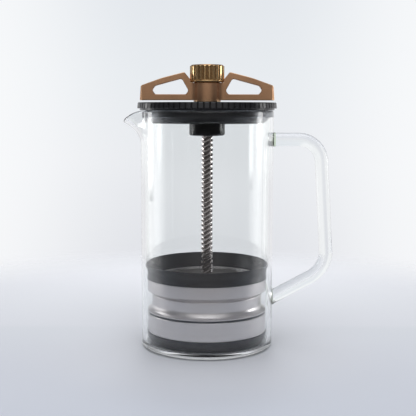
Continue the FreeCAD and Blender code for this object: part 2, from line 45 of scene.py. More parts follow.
# ------------------------------------------------------------------ node helpers
class Mat:
    """A node material, built up in code. Lengths in textures are millimetres of the row frame."""

    def __init__(self, name):
        self.mat = bpy.data.materials.new(name)
        self.mat.use_nodes = True
        self.t = self.mat.node_tree
        self.t.nodes.clear()
        self.obj = self.add("ShaderNodeTexCoord").outputs["Object"]

    def add(self, kind, ins=None, **props):
        n = self.t.nodes.new(kind)
        for k, v in props.items():
            setattr(n, k, v)
        for k, v in (ins or {}).items():
            if isinstance(v, bpy.types.NodeSocket):
                self.t.links.new(v, n.inputs[k])
            else:
                n.inputs[k].default_value = v
        return n

    def math(self, op, a, b=0.0, c=0.0, clamp=False):
        return self.add("ShaderNodeMath", {0: a, 1: b, 2: c}, operation=op, use_clamp=clamp).outputs[0]

    def scaled(self, sx, sy=None, sz=None, rot=(0, 0, 0)):
        sy = sx if sy is None else sy
        sz = sx if sz is None else sz
        return self.add("ShaderNodeMapping", {"Vector": self.obj, "Scale": (sx * 1000, sy * 1000, sz * 1000), "Rotation": rot}).outputs[0]

    def noise(self, vec, detail=2.0, rough=0.5, distortion=0.0):
        return self.add("ShaderNodeTexNoise", {"Vector": vec, "Scale": 1.0, "Detail": detail, "Roughness": rough,
                                               "Distortion": distortion}).outputs["Fac"]

    def range(self, v, a, b, c=0.0, d=1.0, smooth=False):
        return self.add("ShaderNodeMapRange", {"Value": v, "From Min": a, "From Max": b, "To Min": c, "To Max": d},
                        interpolation_type="SMOOTHSTEP" if smooth else "LINEAR").outputs[0]

    def mix(self, f, a, b):
        n = self.add("ShaderNodeMix", data_type="RGBA")
        for i, v in ((0, f), (6, a), (7, b)):
            if isinstance(v, bpy.types.NodeSocket):
                self.t.links.new(v, n.inputs[i])
            else:
                n.inputs[i].default_value = (*v, 1.0) if i else v
        return n.outputs[2]

    def bump(self, h, strength, dist, normal=None):
        ins = {"Height": h, "Strength": strength, "Distance": dist}
        if normal is not None:
            ins["Normal"] = normal
        return self.add("ShaderNodeBump", ins).outputs[0]

    def edges(self, radius, gain, samples=6):
        """1 on the object's own corners and edges, 0 on open faces"""
        bevel = self.add("ShaderNodeBevel", {"Radius": radius}, samples=samples).outputs[0]
        flat = self.add("ShaderNodeNewGeometry").outputs["Normal"]
        dot = self.add("ShaderNodeVectorMath", {0: bevel, 1: flat}, operation="DOT_PRODUCT").outputs["Value"]
        return self.math("MULTIPLY", self.math("SUBTRACT", 1.0, dot), gain, clamp=True)

    def split(self):
        s = self.add("ShaderNodeSeparateXYZ", {0: self.obj})
        return s.outputs[0], s.outputs[1], s.outputs[2]

    def surface(self, shader):
        self.t.links.new(shader, self.add("ShaderNodeOutputMaterial").inputs["Surface"])
        return self.mat

    def principled(self, **ins):
        named = {k.replace("_", " "): v for k, v in ins.items()}
        for k in ("Base Color", "Specular Tint", "Sheen Tint", "Coat Tint", "Emission Color"):
            if k in named and isinstance(named[k], tuple) and len(named[k]) == 3:
                named[k] = (*named[k], 1.0)
        return self.add("ShaderNodeBsdfPrincipled", named).outputs[0]


def shade(name_or_obj, mat):
    o = nodes[name_or_obj] if isinstance(name_or_obj, str) else name_or_obj
    if not o.material_slots:
        o.data.materials.append(mat)
    for s in o.material_slots:
        s.material = mat


# ------------------------------------------------------------------ materials
def glass_material(name, tint, ripple):
    m = Mat(name)
    x, y, z = m.split()
    # slow drawn ripple of blown glass, and faint wiping marks in the gloss
    slow = m.noise(m.scaled(0.045, 0.045, 0.012), 1.0, 0.4)
    fine = m.noise(m.scaled(0.35, 0.35, 0.06), 1.0, 0.4)
    bump = m.bump(slow, 1.0, ripple)
    bump = m.bump(fine, 1.0, ripple * 0.06, bump)
    smear = m.noise(m.scaled(0.05, 0.05, 0.09), 4.0, 0.65)
    rough = m.range(smear, 0.45, 0.75, 0.0, 0.022)
    # the two welds, where the glass is greener
    upper = m.math("GREATER_THAN", z, 0.1)
    off = m.math("ABSOLUTE", m.math("SUBTRACT", m.math("SUBTRACT", x, 0.0498), m.math("MULTIPLY", upper, 0.0010)))
    near = m.range(off, 0.0004, 0.0010, 1, 0, True)
    hand = m.math("MULTIPLY", near, m.math("LESS_THAN", m.math("ABSOLUTE", y), 0.0075))
    zone = m.math("LESS_THAN", m.math("ABSOLUTE", m.math("SUBTRACT", m.math("SUBTRACT", z, 0.0365), m.math("MULTIPLY", upper, 0.1205))), 0.0085)
    hand = m.math("MULTIPLY", hand, zone)
    col = m.mix(m.math("MULTIPLY", hand, 0.75, clamp=True), tint, (0.62, 0.76, 0.50))
    body = m.principled(Base_Color=col, Roughness=rough, IOR=1.47, Transmission_Weight=1.0, Normal=bump)
    clear = m.add("ShaderNodeBsdfTransparent", {"Color": (0.955, 0.965, 0.965, 1)}).outputs[0]
    ray = m.add("ShaderNodeLightPath").outputs["Is Shadow Ray"]
    mixed = m.add("ShaderNodeMixShader", {0: ray, 1: body, 2: clear}).outputs[0]
    return m.surface(mixed)


def plastic(name, base, highlight_lift, rough, grain=0.00002, spec=0.5, ribs=None):
    m = Mat(name)
    cloud = m.noise(m.scaled(0.12), 4.0, 0.6)
    grit = m.noise(m.scaled(6.0), 3.0, 0.6)
    edge = m.edges(0.0004, 2.2)
    # painted highlight: corners and edges are lightened towards the pale edge colour, in patches
    painted_edge_highlight = m.math("MULTIPLY", edge, m.range(m.noise(m.scaled(0.6), 3.0, 0.6), 0.35, 0.7), clamp=True)
    col = m.mix(m.range(cloud, 0.3, 0.7), base, tuple(c * 1.25 for c in base))
    col = m.mix(m.math("MULTIPLY", painted_edge_highlight, 0.55), col, highlight_lift)
    if ribs:
        # painted shade darkens the grooves between the ribs, and the ribbed band is given a paler base colour
        x, y, z = m.split()
        rad = m.math("SQRT", m.math("ADD", m.math("MULTIPLY", x, x), m.math("MULTIPLY", y, y)))
        face = m.math("SUBTRACT", 0.0524, m.math("MULTIPLY", m.math("SUBTRACT", z, 0.1804), 0.0909))
        zone = m.math("MULTIPLY", m.math("GREATER_THAN", rad, 0.0508), m.math("GREATER_THAN", z, 0.1788))
        groove_shade = m.math("MULTIPLY", m.range(m.math("SUBTRACT", face, rad), 0.00006, 0.0003, 0, 1, True), zone)
        col = m.mix(zone, col, ribs)
        col = m.mix(groove_shade, col, (0.0012, 0.0012, 0.0014))
    r = m.range(cloud, 0.3, 0.7, rough - 0.05, rough + 0.06)
    r = m.math("ADD", r, m.range(grit, 0.3, 0.7, -0.03, 0.03))
    normal = m.bump(grit, 0.5, grain)
    return m.surface(m.principled(Base_Color=col, Roughness=r, IOR=1.5, Specular_IOR_Level=spec, Normal=normal))


def metal(name, base, alt, edge_highlight_col, r0, r1, grain, brush=None, edge_r=0.0004, edge_gain=3.0, grain_scale=5.0,
          aniso=0.0, valley=None):
    """brush is the texture scale along X, Y and Z, in cycles per millimetre; None is a blasted surface"""
    m = Mat(name)
    cloud = m.noise(m.scaled(0.06), 3.0, 0.55)
    if brush:
        lines = m.noise(m.scaled(*brush), 3.0, 0.55)
    else:
        lines = m.noise(m.scaled(grain_scale), 3.0, 0.6)
    fine = m.noise(m.scaled(grain_scale * 2.2), 2.0, 0.5)
    col = m.mix(m.range(cloud, 0.3, 0.7), base, alt)
    col = m.mix(m.range(lines, 0.3, 0.72, 0.0, 0.22), col, tuple(c * 0.62 for c in base))
    if valley:
        # darker down in the flutes, between the two radii given
        x, y, z = m.split()
        rad = m.math("SQRT", m.math("ADD", m.math("MULTIPLY", x, x), m.math("MULTIPLY", y, y)))
        side = m.math("MULTIPLY", m.math("GREATER_THAN", rad, 0.0116), m.math("GREATER_THAN", z, 0.2012))
        low = m.math("MULTIPLY", m.range(rad, valley[0], valley[1], 1, 0, True), side)
        col = m.mix(low, col, valley[2])
    edge = m.edges(edge_r, edge_gain)
    # painted highlight: corners and edges are lightened towards the bright edge colour
    col = m.mix(m.math("MULTIPLY", edge, m.range(m.noise(m.scaled(0.8), 3.0, 0.6), 0.2, 0.55), clamp=True), col, edge_highlight_col)
    rough = m.range(lines, 0.28, 0.72, r0, r1)
    rough = m.math("ADD", rough, m.range(cloud, 0.3, 0.7, -0.03, 0.04))
    rough = m.math("SUBTRACT", rough, m.math("MULTIPLY", edge, 0.12), clamp=True)
    normal = m.bump(lines, 0.55, grain)
    normal = m.bump(fine, 0.3, grain * 0.5, normal)
    return m.surface(m.principled(Base_Color=col, Metallic=1.0, Roughness=rough, Anisotropic=aniso, Normal=normal))


def turned_metal(name, base, alt, edge_highlight_col, r0, r1, pitch=3.0, grain=0.000008, edge_r=0.0004, edge_gain=3.0):
    """metal turned on a lathe: fine rings about the object's axis"""
    m = Mat(name)
    x, y, z = m.split()
    r = m.math("MULTIPLY", m.math("SQRT", m.math("ADD", m.math("MULTIPLY", x, x), m.math("MULTIPLY", y, y))), 1000.0 * pitch)
    h = m.math("MULTIPLY", z, 1000.0 * pitch)
    rings = m.noise(m.add("ShaderNodeCombineXYZ", {0: r, 1: h, 2: 0.0}).outputs[0], 3.0, 0.6)
    cloud = m.noise(m.scaled(0.07), 3.0, 0.55)
    grit = m.noise(m.scaled(6.0), 3.0, 0.6)
    col = m.mix(m.range(cloud, 0.3, 0.7), base, alt)
    col = m.mix(m.range(rings, 0.35, 0.75, 0.0, 0.16), col, tuple(c * 0.7 for c in base))
    edge = m.edges(edge_r, edge_gain)
    # painted highlight: corners and edges take the bright edge colour
    col = m.mix(edge, col, edge_highlight_col)
    rough = m.math("ADD", m.range(rings, 0.3, 0.7, r0, r1), m.range(cloud, 0.3, 0.7, -0.03, 0.03))
    rough = m.math("SUBTRACT", rough, m.math("MULTIPLY", edge, 0.1), clamp=True)
    normal = m.bump(grit, 0.5, grain)
    normal = m.bump(rings, 0.4, grain, normal)
    return m.surface(m.principled(Base_Color=col, Metallic=1.0, Roughness=rough, Normal=normal))


def thread_metal(name, crest, root, edge_highlight_col):
    """rolled screw: polished crests; the grooves are darker, partly dark oxide and partly painted shade"""
    m = Mat(name)
    x, y, z = m.split()
    rad = m.math("SQRT", m.math("ADD", m.math("MULTIPLY", x, x), m.math("MULTIPLY", y, y)))
    wear = m.noise(m.scaled(1.2), 4.0, 0.65)
    top = m.range(m.math("ADD", rad, m.range(wear, 0.3, 0.7, -0.00008, 0.00008)), 0.00335, 0.00385, 0, 1, True)
    fine = m.noise(m.scaled(5.0), 3.0, 0.6)
    # painted shade with oxide: the colour darkens from the crests down into the thread grooves
    col = m.mix(top, m.mix(m.range(wear, 0.3, 0.7), root, tuple(c * 1.5 for c in root)), crest)
    edge = m.edges(0.0003, 2.0)
    # painted highlight: corners and edges are lightened towards the near-white edge colour
    col = m.mix(m.math("MULTIPLY", edge, 0.6, clamp=True), col, edge_highlight_col)
    rough = m.math("ADD", m.range(top, 0, 1, 0.30, 0.10), m.range(fine, 0.3, 0.7, -0.03, 0.05))
    normal = m.bump(fine, 0.4, 0.000006)
    return m.surface(m.principled(Base_Color=col, Metallic=1.0, Roughness=rough, Normal=normal))


def rubber(name, base, alt, rough, sheen=0.15):
    m = Mat(name)
    cloud = m.noise(m.scaled(0.10), 4.0, 0.6)
    grit = m.noise(m.scaled(4.0), 4.0, 0.65)
    dust = m.range(m.noise(m.scaled(1.6), 5.0, 0.7), 0.62, 0.75)
    col = m.mix(m.range(cloud, 0.3, 0.7), base, alt)
    col = m.mix(m.math("MULTIPLY", dust, 0.10), col, (0.35, 0.36, 0.38))
    r = m.math("ADD", m.range(cloud, 0.3, 0.7, rough - 0.06, rough + 0.06), m.range(grit, 0.3, 0.7, -0.04, 0.04))
    normal = m.bump(grit, 0.5, 0.00002)
    return m.surface(m.principled(Base_Color=col, Roughness=r, IOR=1.42, Sheen_Weight=sheen, Sheen_Roughness=0.5, Normal=normal))


def silicone(name):
    m = Mat(name)
    cloud = m.noise(m.scaled(0.15), 3.0, 0.55)
    grit = m.noise(m.scaled(3.0), 3.0, 0.6)
    col = m.mix(m.range(cloud, 0.3, 0.7), (0.38, 0.40, 0.43), (0.46, 0.48, 0.51))
    r = m.range(grit, 0.3, 0.7, 0.09, 0.17)
    normal = m.bump(grit, 0.4, 0.00002)
    return m.surface(m.principled(Base_Color=col, Roughness=r, IOR=1.41, Transmission_Weight=0.92, Normal=normal))


def woven(name, pitch):
    """fine wire mesh: two sets of wires passing over and under each other"""
    m = Mat(name)
    x, y, z = m.split()
    u = m.math("MULTIPLY", x, 1000.0 * math.pi / pitch)
    v = m.math("MULTIPLY", y, 1000.0 * math.pi / pitch)
    su, sv = m.math("SINE", u), m.math("SINE", v)
    au, av = m.math("ABSOLUTE", su), m.math("ABSOLUTE", sv)
    over = m.math("MULTIPLY", m.math("SINE", m.math("MULTIPLY", u, 0.5)), m.math("SINE", m.math("MULTIPLY", v, 0.5)))
    h = m.math("ADD", m.math("MAXIMUM", au, av), m.math("MULTIPLY", over, 0.35))
    gap_shade = m.math("MULTIPLY", m.math("SUBTRACT", 1.0, au), m.math("SUBTRACT", 1.0, av))
    cloud = m.noise(m.scaled(0.08), 3.0, 0.6)
    col = m.mix(m.range(cloud, 0.3, 0.7), (0.26, 0.25, 0.25), (0.34, 0.325, 0.32))
    # painted shade: the gaps between the wires are darkened nearly to black
    col = m.mix(m.range(gap_shade, 0.15, 0.6), col, (0.03, 0.03, 0.03))
    rough = m.range(cloud, 0.3, 0.7, 0.30, 0.42)
    normal = m.bump(h, 0.6, 0.00008)
    return m.surface(m.principled(Base_Color=col, Metallic=1.0, Roughness=rough, Normal=normal))


GLASS = glass_material("clear_borosilicate", (0.975, 0.985, 0.982), 0.00004)
CAP = plastic("ribbed_black_plastic", (0.0045, 0.0046, 0.0058), (0.040, 0.042, 0.050), 0.24, spec=0.45,
              ribs=(0.013, 0.0127, 0.0150))
LID = plastic("satin_black_plastic", (0.0040, 0.0041, 0.0052), (0.040, 0.042, 0.050), 0.20, spec=0.42)
NUT = plastic("black_acetal", (0.0040, 0.0045, 0.0062), (0.035, 0.038, 0.048), 0.17, spec=0.38)
WASHER = plastic("washer_acetal", (0.008, 0.008, 0.009), (0.04, 0.04, 0.04), 0.34, spec=0.4)
SILICONE = silicone("grey_silicone")
BRONZE = metal("bronze_anodised", (0.61, 0.35, 0.20), (0.69, 0.40, 0.23), (1.0, 0.80, 0.50), 0.29, 0.42, 0.00001,
               brush=(0.16, 2.4, 2.6), edge_r=0.0007, edge_gain=3.6)
BRASS = metal("polished_brass", (0.92, 0.62, 0.31), (0.96, 0.68, 0.36), (1.0, 0.82, 0.50), 0.19, 0.25, 0.0000015,
              brush=(0.5, 0.5, 0.05), edge_r=0.0003, edge_gain=2.4, valley=(0.01225, 0.0128, (0.46, 0.27, 0.12)))
ROD = thread_metal("rolled_steel", (0.93, 0.89, 0.88), (0.13, 0.115, 0.11), (1.0, 0.95, 0.93))
STEEL = turned_metal("plain_steel", (0.56, 0.56, 0.57), (0.62, 0.62, 0.63), (0.85, 0.85, 0.86), 0.22, 0.34)
POD = turned_metal("blasted_aluminium", (0.62, 0.59, 0.595), (0.66, 0.63, 0.635), (0.86, 0.85, 0.86), 0.30, 0.38,
                   pitch=2.2, grain=0.00001)
PLATE = turned_metal("perforated_steel", (0.50, 0.50, 0.50), (0.56, 0.56, 0.56), (0.75, 0.75, 0.75), 0.30, 0.40)
MESH = woven("woven_wire", 0.62)
RUBBER = rubber("black_silicone", (0.009, 0.0105, 0.018), (0.012, 0.0145, 0.024), 0.36, sheen=0.02)

for node, mat in {
        "lid_cap": CAP, "lid_insert": LID, "lower_thrust_washer": WASHER, "upper_thrust_washer": WASHER,
        "wing_handle": BRONZE, "drive_nut": NUT, "hub_locknut": STEEL, "screw_rod": ROD, "knob": BRASS,
        "wiper_seal": RUBBER, "pod_body": POD, "upper_filter_plate": PLATE, "upper_mesh": MESH,
        "upper_retaining_ring": STEEL, "rod_washer": STEEL, "rod_cap_nut": STEEL, "pod_lower_ring": POD,
        "pod_o_ring": RUBBER, "lower_mesh": MESH, "lower_filter_plate": PLATE, "lower_retaining_ring": STEEL,
        "base_seal_ring": RUBBER, "lid_gasket": SILICONE, "glass_beaker": GLASS, "glass_handle": GLASS}.items():
    shade(node, mat)


# ------------------------------------------------------------------ mesh helpers
def corner(p0, p1, p2, r, n=6):
    """points of the arc that rounds the corner at p1"""
    a = np.array(p0[:2], float) - np.array(p1[:2], float)
    b = np.array(p2[:2], float) - np.array(p1[:2], float)
    a, b = a / np.linalg.norm(a), b / np.linalg.norm(b)
    half = math.acos(max(-1.0, min(1.0, float(a @ b)))) / 2
    t = r / math.tan(half)
    c = a + b
    c = c / np.linalg.norm(c)
    centre = np.array(p1[:2], float) + c * r / math.sin(half)
    s = np.array(p1[:2], float) + a * t
    e = np.array(p1[:2], float) + b * t
    a0 = math.atan2(*(s - centre)[::-1])
    a1 = math.atan2(*(e - centre)[::-1])
    d = (a1 - a0 + math.pi) % (2 * math.pi) - math.pi
    return [tuple(centre + r * np.array([math.cos(a0 + d * i / n), math.sin(a0 + d * i / n)])) for i in range(n + 1)]


def rounded(pts, n=6, closed=True):
    out = []
    for i, p in enumerate(pts):
        if len(p) > 2 and p[2]:
            out += corner(pts[i - 1], p, pts[(i + 1) % len(pts)], p[2], n)
        else:
            out.append((float(p[0]), float(p[1])))
    return out


def mesh_object(name, verts, faces, body, mat, sharp=35.0):
    me = bpy.data.meshes.new(name)
    me.from_pydata([tuple(v) for v in np.asarray(verts, float) * MM], [], faces)
    bm = bmesh.new()
    bm.from_mesh(me)
    bmesh.ops.remove_doubles(bm, verts=bm.verts, dist=1e-7)
    bmesh.ops.recalc_face_normals(bm, faces=bm.faces)
    bm.to_mesh(me)
    bm.free()
    me.polygons.foreach_set("use_smooth", [True] * len(me.polygons))
    if sharp:
        me.set_sharp_from_angle(angle=math.radians(sharp))
    me.update()
    o = bpy.data.objects.new(name, me)
    scene.collection.objects.link(o)
    me.materials.append(mat)
    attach(o, body)
    return o


def lathe(name, pts, segs, body, mat, n=6, sharp=35.0):
    """closed profile of (radius, height[, corner radius]) turned about Z"""
    prof = rounded(pts, n)
    k = len(prof)
    verts = []
    for i in range(segs):
        a = 2 * math.pi * i / segs
        ca, sa = math.cos(a), math.sin(a)
        verts += [(r * ca, r * sa, z) for r, z in prof]
    faces = []
    for i in range(segs):
        j = (i + 1) % segs
        for q in range(k):
            w = (q + 1) % k
            faces.append((i * k + q, j * k + q, j * k + w, i * k + w))
    return mesh_object(name, verts, faces, body, mat, sharp)


# ------------------------------------------------------------------ glass: beaker and handle, one fused piece
R_OUT, R_IN, FLOOR = 50.0, 47.2, 3.6
HALF = (R_OUT - R_IN) / 2
Z_SP, Z_RIM = 146.0, 178.85
SPOUT = np.array([(48.6, 146.0), (48.6, 150.0), (48.68, 154.0), (48.98, 157.2), (50.30, 160.5),
                  (52.18, 163.6), (54.75, 166.3), (57.8, 168.7), (61.45, 170.9)])


def natural_spline(t, y, q):
    n = len(t)
    h = np.diff(t)
    A = np.zeros((n, n))
    b = np.zeros(n)
    A[0, 0] = A[-1, -1] = 1
    for i in range(1, n - 1):
        A[i, i - 1], A[i, i], A[i, i + 1] = h[i - 1], 2 * (h[i - 1] + h[i]), h[i]
        b[i] = 6 * ((y[i + 1] - y[i]) / h[i] - (y[i] - y[i - 1]) / h[i - 1])
    m = np.linalg.solve(A, b)
    k = np.clip(np.searchsorted(t, q, side="right") - 1, 0, n - 2)
    a, c = (t[k + 1] - q) / h[k], (q - t[k]) / h[k]
    return a * y[k] + c * y[k + 1] + ((a ** 3 - a) * m[k] + (c ** 3 - c) * m[k + 1]) * h[k] ** 2 / 6


chord = np.concatenate([[0], np.cumsum(np.hypot(*np.diff(SPOUT, axis=0).T))])
dense = np.linspace(0, chord[-1], 1200)
dense_xy = np.stack([natural_spline(chord, SPOUT[:, 0], dense), natural_spline(chord, SPOUT[:, 1], dense)], 1)
arc = np.concatenate([[0], np.cumsum(np.hypot(*np.diff(dense_xy, axis=0).T))])
NL = 48
steps = np.linspace(0, 1, NL)
mid_x = np.interp(steps * arc[-1], arc, dense_xy[:, 0])
mid_z = np.interp(steps * arc[-1], arc, dense_xy[:, 1])


def wall_section(deg):
    """outer line up, rim, inner line down, above the height where the spout begins"""
    w = math.cos(math.pi * deg / 54.0) ** 2 if abs(deg) < 27.0 else 0.0
    zc = Z_SP + steps * (Z_RIM - HALF - Z_SP)
    lx = 48.6 + w * (mid_x - 48.6)
    lz = zc + w * w * (mid_z - zc)
    tx, tz = np.gradient(lx), np.gradient(lz)
    tx[0], tz[0] = 0.0, 1.0
    ln = np.hypot(tx, tz)
    tx, tz = tx / ln, tz / ln
    outer = np.stack([lx + tz * HALF, lz - tx * HALF], 1)
    inner = np.stack([lx - tz * HALF, lz + tx * HALF], 1)
    a = np.linspace(0, math.pi, 13)[1:-1]
    nx, nz = tz[-1], -tx[-1]
    rim = np.stack([lx[-1] + HALF * (np.cos(a) * nx + np.sin(a) * tx[-1]),
                    lz[-1] + HALF * (np.cos(a) * nz + np.sin(a) * tz[-1])], 1)
    return np.concatenate([outer, rim, inner[::-1]])


def beaker_mesh():
    low_out = rounded([(0.0, 0.0), (R_OUT, 0.0, 3.0), (R_OUT, Z_SP)], 12)[1:-1]
    low_out = [(r, 0.0) for r in (12.0, 24.0, 36.0, 42.0)] + low_out + [(R_OUT, z) for z in (20.0, 60.0, 100.0)]
    low_in = [(R_IN, z) for z in (100.0, 60.0, 20.0)] + rounded([(R_IN, Z_SP), (R_IN, FLOOR, 2.2), (0.0, FLOOR)], 12)[1:-1] \
        + [(r, FLOOR) for r in (42.0, 36.0, 24.0, 12.0)]
    degs = []
    d = -180.0
    while d < 180.0 - 1e-9:
        degs.append(d)
        d += 0.5 if -30.0 <= d < 30.0 else 0.75
    rows = []
    for d in degs:
        prof = np.concatenate([np.array(low_out), wall_section(d), np.array(low_in)])
        a = math.radians(180.0 + d)
        rows.append(np.stack([prof[:, 0] * math.cos(a), prof[:, 0] * math.sin(a), prof[:, 1]], 1))
    k, n = len(rows[0]), len(rows)
    verts = np.concatenate(rows + [np.array([[0, 0, 0], [0, 0, FLOOR]])])
    faces = []
    for i in range(n):
        j = (i + 1) % n
        for q in range(k - 1):
            faces.append((i * k + q, j * k + q, j * k + q + 1, i * k + q + 1))
        faces.append((n * k, j * k, i * k))
        faces.append((n * k + 1, i * k + k - 1, j * k + k - 1))
    return verts, faces


def handle_mesh():
    """glass rod swept along its bent axis, with a low bead at each weld; both ends stop inside the beaker's wall"""
    R = 5.15
    slope, x1, zt = 0.0613, 85.73, 157.15
    ls, lx, lz = 0.543, 67.0, 45.3
    x0 = 48.35
    x2 = (x1 + slope * (zt - lz + ls * lx)) / (1 + slope * ls)
    p = [(x0, zt), (x1, zt), (x2, lz + (x2 - lx) * ls), (x0, lz + (x0 - lx) * ls)]
    path = []

    def line(a, b, step, include=False):
        a, b = np.array(a), np.array(b)
        n = max(2, int(np.linalg.norm(b - a) / step))
        for i in range(n + (1 if include else 0)):
            path.append(tuple(a + (b - a) * i / n))
    c1 = corner(p[0], p[1], p[2], 17.5, 30)
    c2 = corner(p[1], p[2], p[3], 21.5, 30)
    line(p[0], c1[0], 0.35)
    path.extend(c1[:-1])
    line(c1[-1], c2[0], 3.0)
    path.extend(c2[:-1])
    line(c2[-1], p[3], 0.35, True)
    path = np.array(path)
    tan = np.gradient(path, axis=0)
    tan /= np.linalg.norm(tan, axis=1)[:, None]
    segs = 64
    verts = []
    for (px, pz), (tx, tz) in zip(path, tan):
        d = px - 50.0
        bead = 0.0
        if px < 56.0:
            # flare on to the wall, then a soft ring
            bead = 0.22 * math.exp(-((d - 1.0) / 0.5) ** 2) + 0.9 * math.exp(-max(d + 0.4, 0.0) / 0.30)
            bead = min(bead, 0.85)
        r = R + bead
        nx, nz = -tz, tx
        # the rings turn upright towards a weld, so that both ends are parallel to the wall
        t = max(0.0, min(1.0, (60.0 - px) / 7.0))
        sh = t * (-nx / tx) if abs(tx) > 0.2 else 0.0
        for i in range(segs):
            a = 2 * math.pi * i / segs
            c, s = math.cos(a), math.sin(a)
            verts.append((px + r * c * (nx + sh * tx), r * s, pz + r * c * (nz + sh * tz)))
    n = len(path)
    faces = []
    for i in range(n - 1):
        for q in range(segs):
            w = (q + 1) % segs
            faces.append((i * segs + q, i * segs + w, (i + 1) * segs + w, (i + 1) * segs + q))
    faces.append(tuple(range(segs - 1, -1, -1)))
    faces.append(tuple((n - 1) * segs + q for q in range(segs)))
    return verts, faces


bv, bf = beaker_mesh()
beaker = mesh_object("beaker_with_handle_glass", bv, bf, "beaker", GLASS, sharp=None)
hv, hf = handle_mesh()
bar = mesh_object("handle_bar_tmp", hv, hf, "beaker", GLASS, sharp=None)
join = beaker.modifiers.new("weld", "BOOLEAN")
join.operation = "UNION"
join.solver = "MANIFOLD"
join.object = bar
dg = bpy.context.evaluated_depsgraph_get()
fused = bpy.data.meshes.new_from_object(beaker.evaluated_get(dg))
beaker.modifiers.clear()
beaker.data = fused
bpy.data.objects.remove(bar)
fused.polygons.foreach_set("use_smooth", [True] * len(fused.polygons))
fused.set_sharp_from_angle(angle=math.radians(60))
print("glass faces", len(fused.polygons))
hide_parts("glass_beaker", "glass_handle")

# ------------------------------------------------------------------ gasket, pressed against the glass
G = 47.22
gasket = lathe("lid_gasket_silicone",
               [(41.0, 176.9), (45.3, 176.9), (45.3, 174.4, 1.0), (42.95, 171.7), (43.6, 169.9, 0.4), (G, 173.7, 1.2),
                (G, 178.0, 0.5), (46.2, 178.6), (41.0, 178.6)], 384, "lid", SILICONE)
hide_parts("lid_gasket")

# ------------------------------------------------------------------ floor, world, camera
def floor_material():
    m = Mat("studio_floor")
    x, y, z = m.split()
    # pale lavender grey, a little lighter towards the back
    stops = m.add("ShaderNodeValToRGB", {"Fac": m.range(y, -0.20, 0.40)})
    r = stops.color_ramp
    cols = FLOOR_STOPS
    while len(r.elements) < len(cols):
        r.elements.new(0.5)
    for e, (pos, c) in zip(r.elements, sorted(cols)):
        e.position = pos
        e.color = (*c, 1)
    grain = m.noise(m.scaled(0.8), 3.0, 0.6)
    col = m.mix(m.range(grain, 0.3, 0.7, 0.0, 0.03), stops.outputs[0], (0.6, 0.6, 0.65))
    front = m.math("MULTIPLY", m.math("MINIMUM", y, 0.0), 1.45)
    far = m.math("ADD", m.math("MAXIMUM", y, 0.0), front)
    rad = m.math("SQRT", m.math("ADD", m.math("MULTIPLY", x, x), m.math("MULTIPLY", far, far)))
    fade = m.range(rad, 0.26, 0.48, 0.0, 1.0, True)
    # painted light: a little paler close to the foot, lifting the object's own shadow on the floor
    near = m.math("SQRT", m.math("ADD", m.math("MULTIPLY", x, x), m.math("MULTIPLY", y, y)))
    col = m.mix(m.range(near, 0.07, 0.15, 0.55, 0.0, True), col, (0.76, 0.78, 0.83))
    body = m.principled(Base_Color=col, Roughness=0.55, Specular_IOR_Level=0.25)
    clear = m.add("ShaderNodeBsdfTransparent", {"Color": (1, 1, 1, 1)}).outputs[0]
    return m.surface(m.add("ShaderNodeMixShader", {0: fade, 1: body, 2: clear}).outputs[0])


def lin(*c):
    return tuple(((v / 255 + 0.055) / 1.055) ** 2.4 if v > 10 else v / 255 / 12.92 for v in c)


K = 1.03
FLOOR_STOPS = [((y + 0.20) / 0.60, tuple(v * K for v in lin(*c))) for y, c in (
    (-0.16, (206, 211, 221)), (-0.046, (211, 215, 223)), (0.045, (213, 217, 223)), (0.055, (217, 220, 226)),
    (0.15, (221, 224, 229)), (0.30, (225, 227, 232)))]

bm = bmesh.new()
bmesh.ops.create_circle(bm, cap_ends=True, segments=128, radius=0.5)
for v in bm.verts:
    v.co.z = -0.0003     # the glass foot is very slightly hollow, so air stays under it
me = bpy.data.meshes.new("floor")
bm.to_mesh(me)
bm.free()
floor = bpy.data.objects.new("floor", me)
scene.collection.objects.link(floor)
me.materials.append(floor_material())


